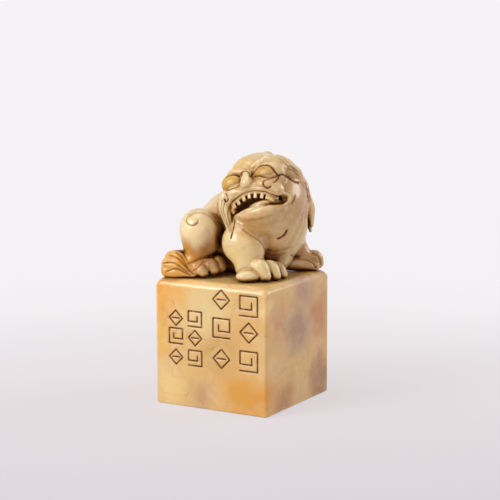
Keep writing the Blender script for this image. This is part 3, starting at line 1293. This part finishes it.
print("roughness", POLISHED, "on a patch of wax and", POLISHED + WAX_CHANGE, "beside it")

# %% [markdown]
# The clouds follow the photograph: honey at the upper left of the panel, pink and grey on the right
# side, one rust-red spot low on that side, amber on the tail and the near thigh, and cream on the
# lion. On the two hidden sides they are made up in the same manner. Eyes and teeth are the same
# stone, the eyes where it is yellower and the teeth where it is paler.

# %% Clouds, each as a place, a reach, a colour and a strength, in millimetres
front, side = -half, half
shaft_clouds = [
    ((-13, front, 31), 10, "efac40", 0.85), ((-17, front, 18), 8, "eebc5a", 0.7),
    ((-2, front, 28), 10, "e6d096", 0.8), ((2, front, 17), 8, "cfa45c", 0.75),
    ((-13, front, 5), 8, "ecd08c", 0.7), ((-3, front, 3), 7, "c59c70", 0.75),
    ((10, front, 5), 9, "d99c2a", 0.8), ((11, front, 24), 7, "deb26c", 0.6),
    ((side, front, 30), 5, "f2d79c", 0.8), ((side, front, 5), 6, "dc9620", 0.7),
    ((side, -10, 24), 7, "c98f58", 0.7), ((side, 0, 20), 9, "a98470", 0.85),
    ((side, 3, 32), 8, "b98e78", 0.8), ((side, 12, 22), 8, "c17c42", 0.8),
    ((side, 13, 6), 8, "9c6232", 0.8), ((side, -8, 4), 7, "b2733c", 0.7),
    ((side, 11.6, 11.3), 2.2, "a8452a", 0.7),
    ((-side, 4, 26), 9, "e8cf94", 0.7), ((-side, -6, 8), 8, "d99c4a", 0.6),
    ((-5, half, 10), 9, "d49c54", 0.6), ((8, half, 26), 9, "e6cf98", 0.7),
]
lion_clouds = [
    ((-4, -12, 42.5), 5.5, "985400", 1), ((-9.5, -13, 41.5), 5, "b27000", 0.95),
    ((-14, -14, 38), 8, "dc9a00", 0.95), ((-5, -9, 38), 4.5, "a0702c", 0.7),
    ((-2, -3.5, 38), 5, "4e2408", 0.95),
    ((4, -9, 42), 8, "e9cf92", 0.7), ((12, -8, 38), 6, "e6d09c", 0.7),
    ((-3, 2, 54), 9, "d6a86c", 0.6), ((14, 4, 56), 9, "c08f62", 0.85),
    ((13, -2, 46), 6, "d2a668", 0.5), ((14, 10, 39), 7, "ad7638", 0.7),
    ((0, -6, 66), 6, "e0b668", 0.6), ((9, -8, 50), 6, "cb9844", 0.6),
    ((11, -3, 60), 7.5, "c3975f", 0.6), ((10.6, -6.5, 61.9), 4.5, "c6a272", 0.7),
    ((-9.5, -13.5, 47), 4.5, "f4dfb0", 0.8), ((14, -3, 40.5), 4.5, "a06c24", 0.7),
    ((14.5, 12, 53), 4, "ecd2b4", 0.8),
]
# the shaft is flat and buffed: a warm honey ground with wide, even reflections
shaft_stone = soapstone("waxed_soapstone_shaft", "dfb878", shaft_clouds, 0.25, 0.28)
# the lion is paler, so that light runs round its masses and the brown in its cuts reads
lion_stone = soapstone("waxed_soapstone_lion", "e0cb9c", lion_clouds, 0.15, 0.12)
# the eyes are yellower and rubbed less, so they glow softly instead of mirroring the lamps
eye_clouds = [((9.8, -6.3, 64.2), 4, "a87c34", 0.6)]
eye_stone = soapstone("waxed_soapstone_eyes", "c8a040", eye_clouds, 0.1, 0, 0.3)
# the teeth have no clouds, so that the row stands out of the dark mouth in one pale tone
tooth_stone = soapstone("waxed_soapstone_teeth", "d8bd8c", [], 0.1, 0)
print(len(shaft_clouds) + len(lion_clouds), "clouds")

# %% [markdown]
# ## Setting the pieces in the frame
# The skin stands for all the carved masses at once, because the real stone has no joints. Shaft,
# teeth, tongue and eyes stand for their own. Everything rides on the one rigid body, because nothing
# on the stamp moves.

# %% Into the frame
dressing = [
    (shaft_piece, shaft_stone, "shaft_stone", ["seal_shaft"]),
    (relief_piece, shaft_stone, "shaft_stone", []),
    (teeth_piece, tooth_stone, "lion_stone", ["upper_teeth"]),
    (tongue_piece, lion_stone, "lion_stone", ["tongue"]),
    (right_eye_piece, eye_stone, "eye_stone", ["right_eye"]),
    (left_eye_piece, eye_stone, "eye_stone", ["left_eye"]),
]
dressed_nodes = {name for *_, names in dressing for name in names}
other_nodes = sorted(set(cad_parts) - dressed_nodes)
dressing.append((lion_piece, lion_stone, "lion_stone", other_nodes))
for piece, material, slot, names in dressing:
    piece.data.materials.append(material)
    if names:
        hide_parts(*names)
    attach(piece, "root")
    print(piece.name, "stands for", len(names), "nodes")
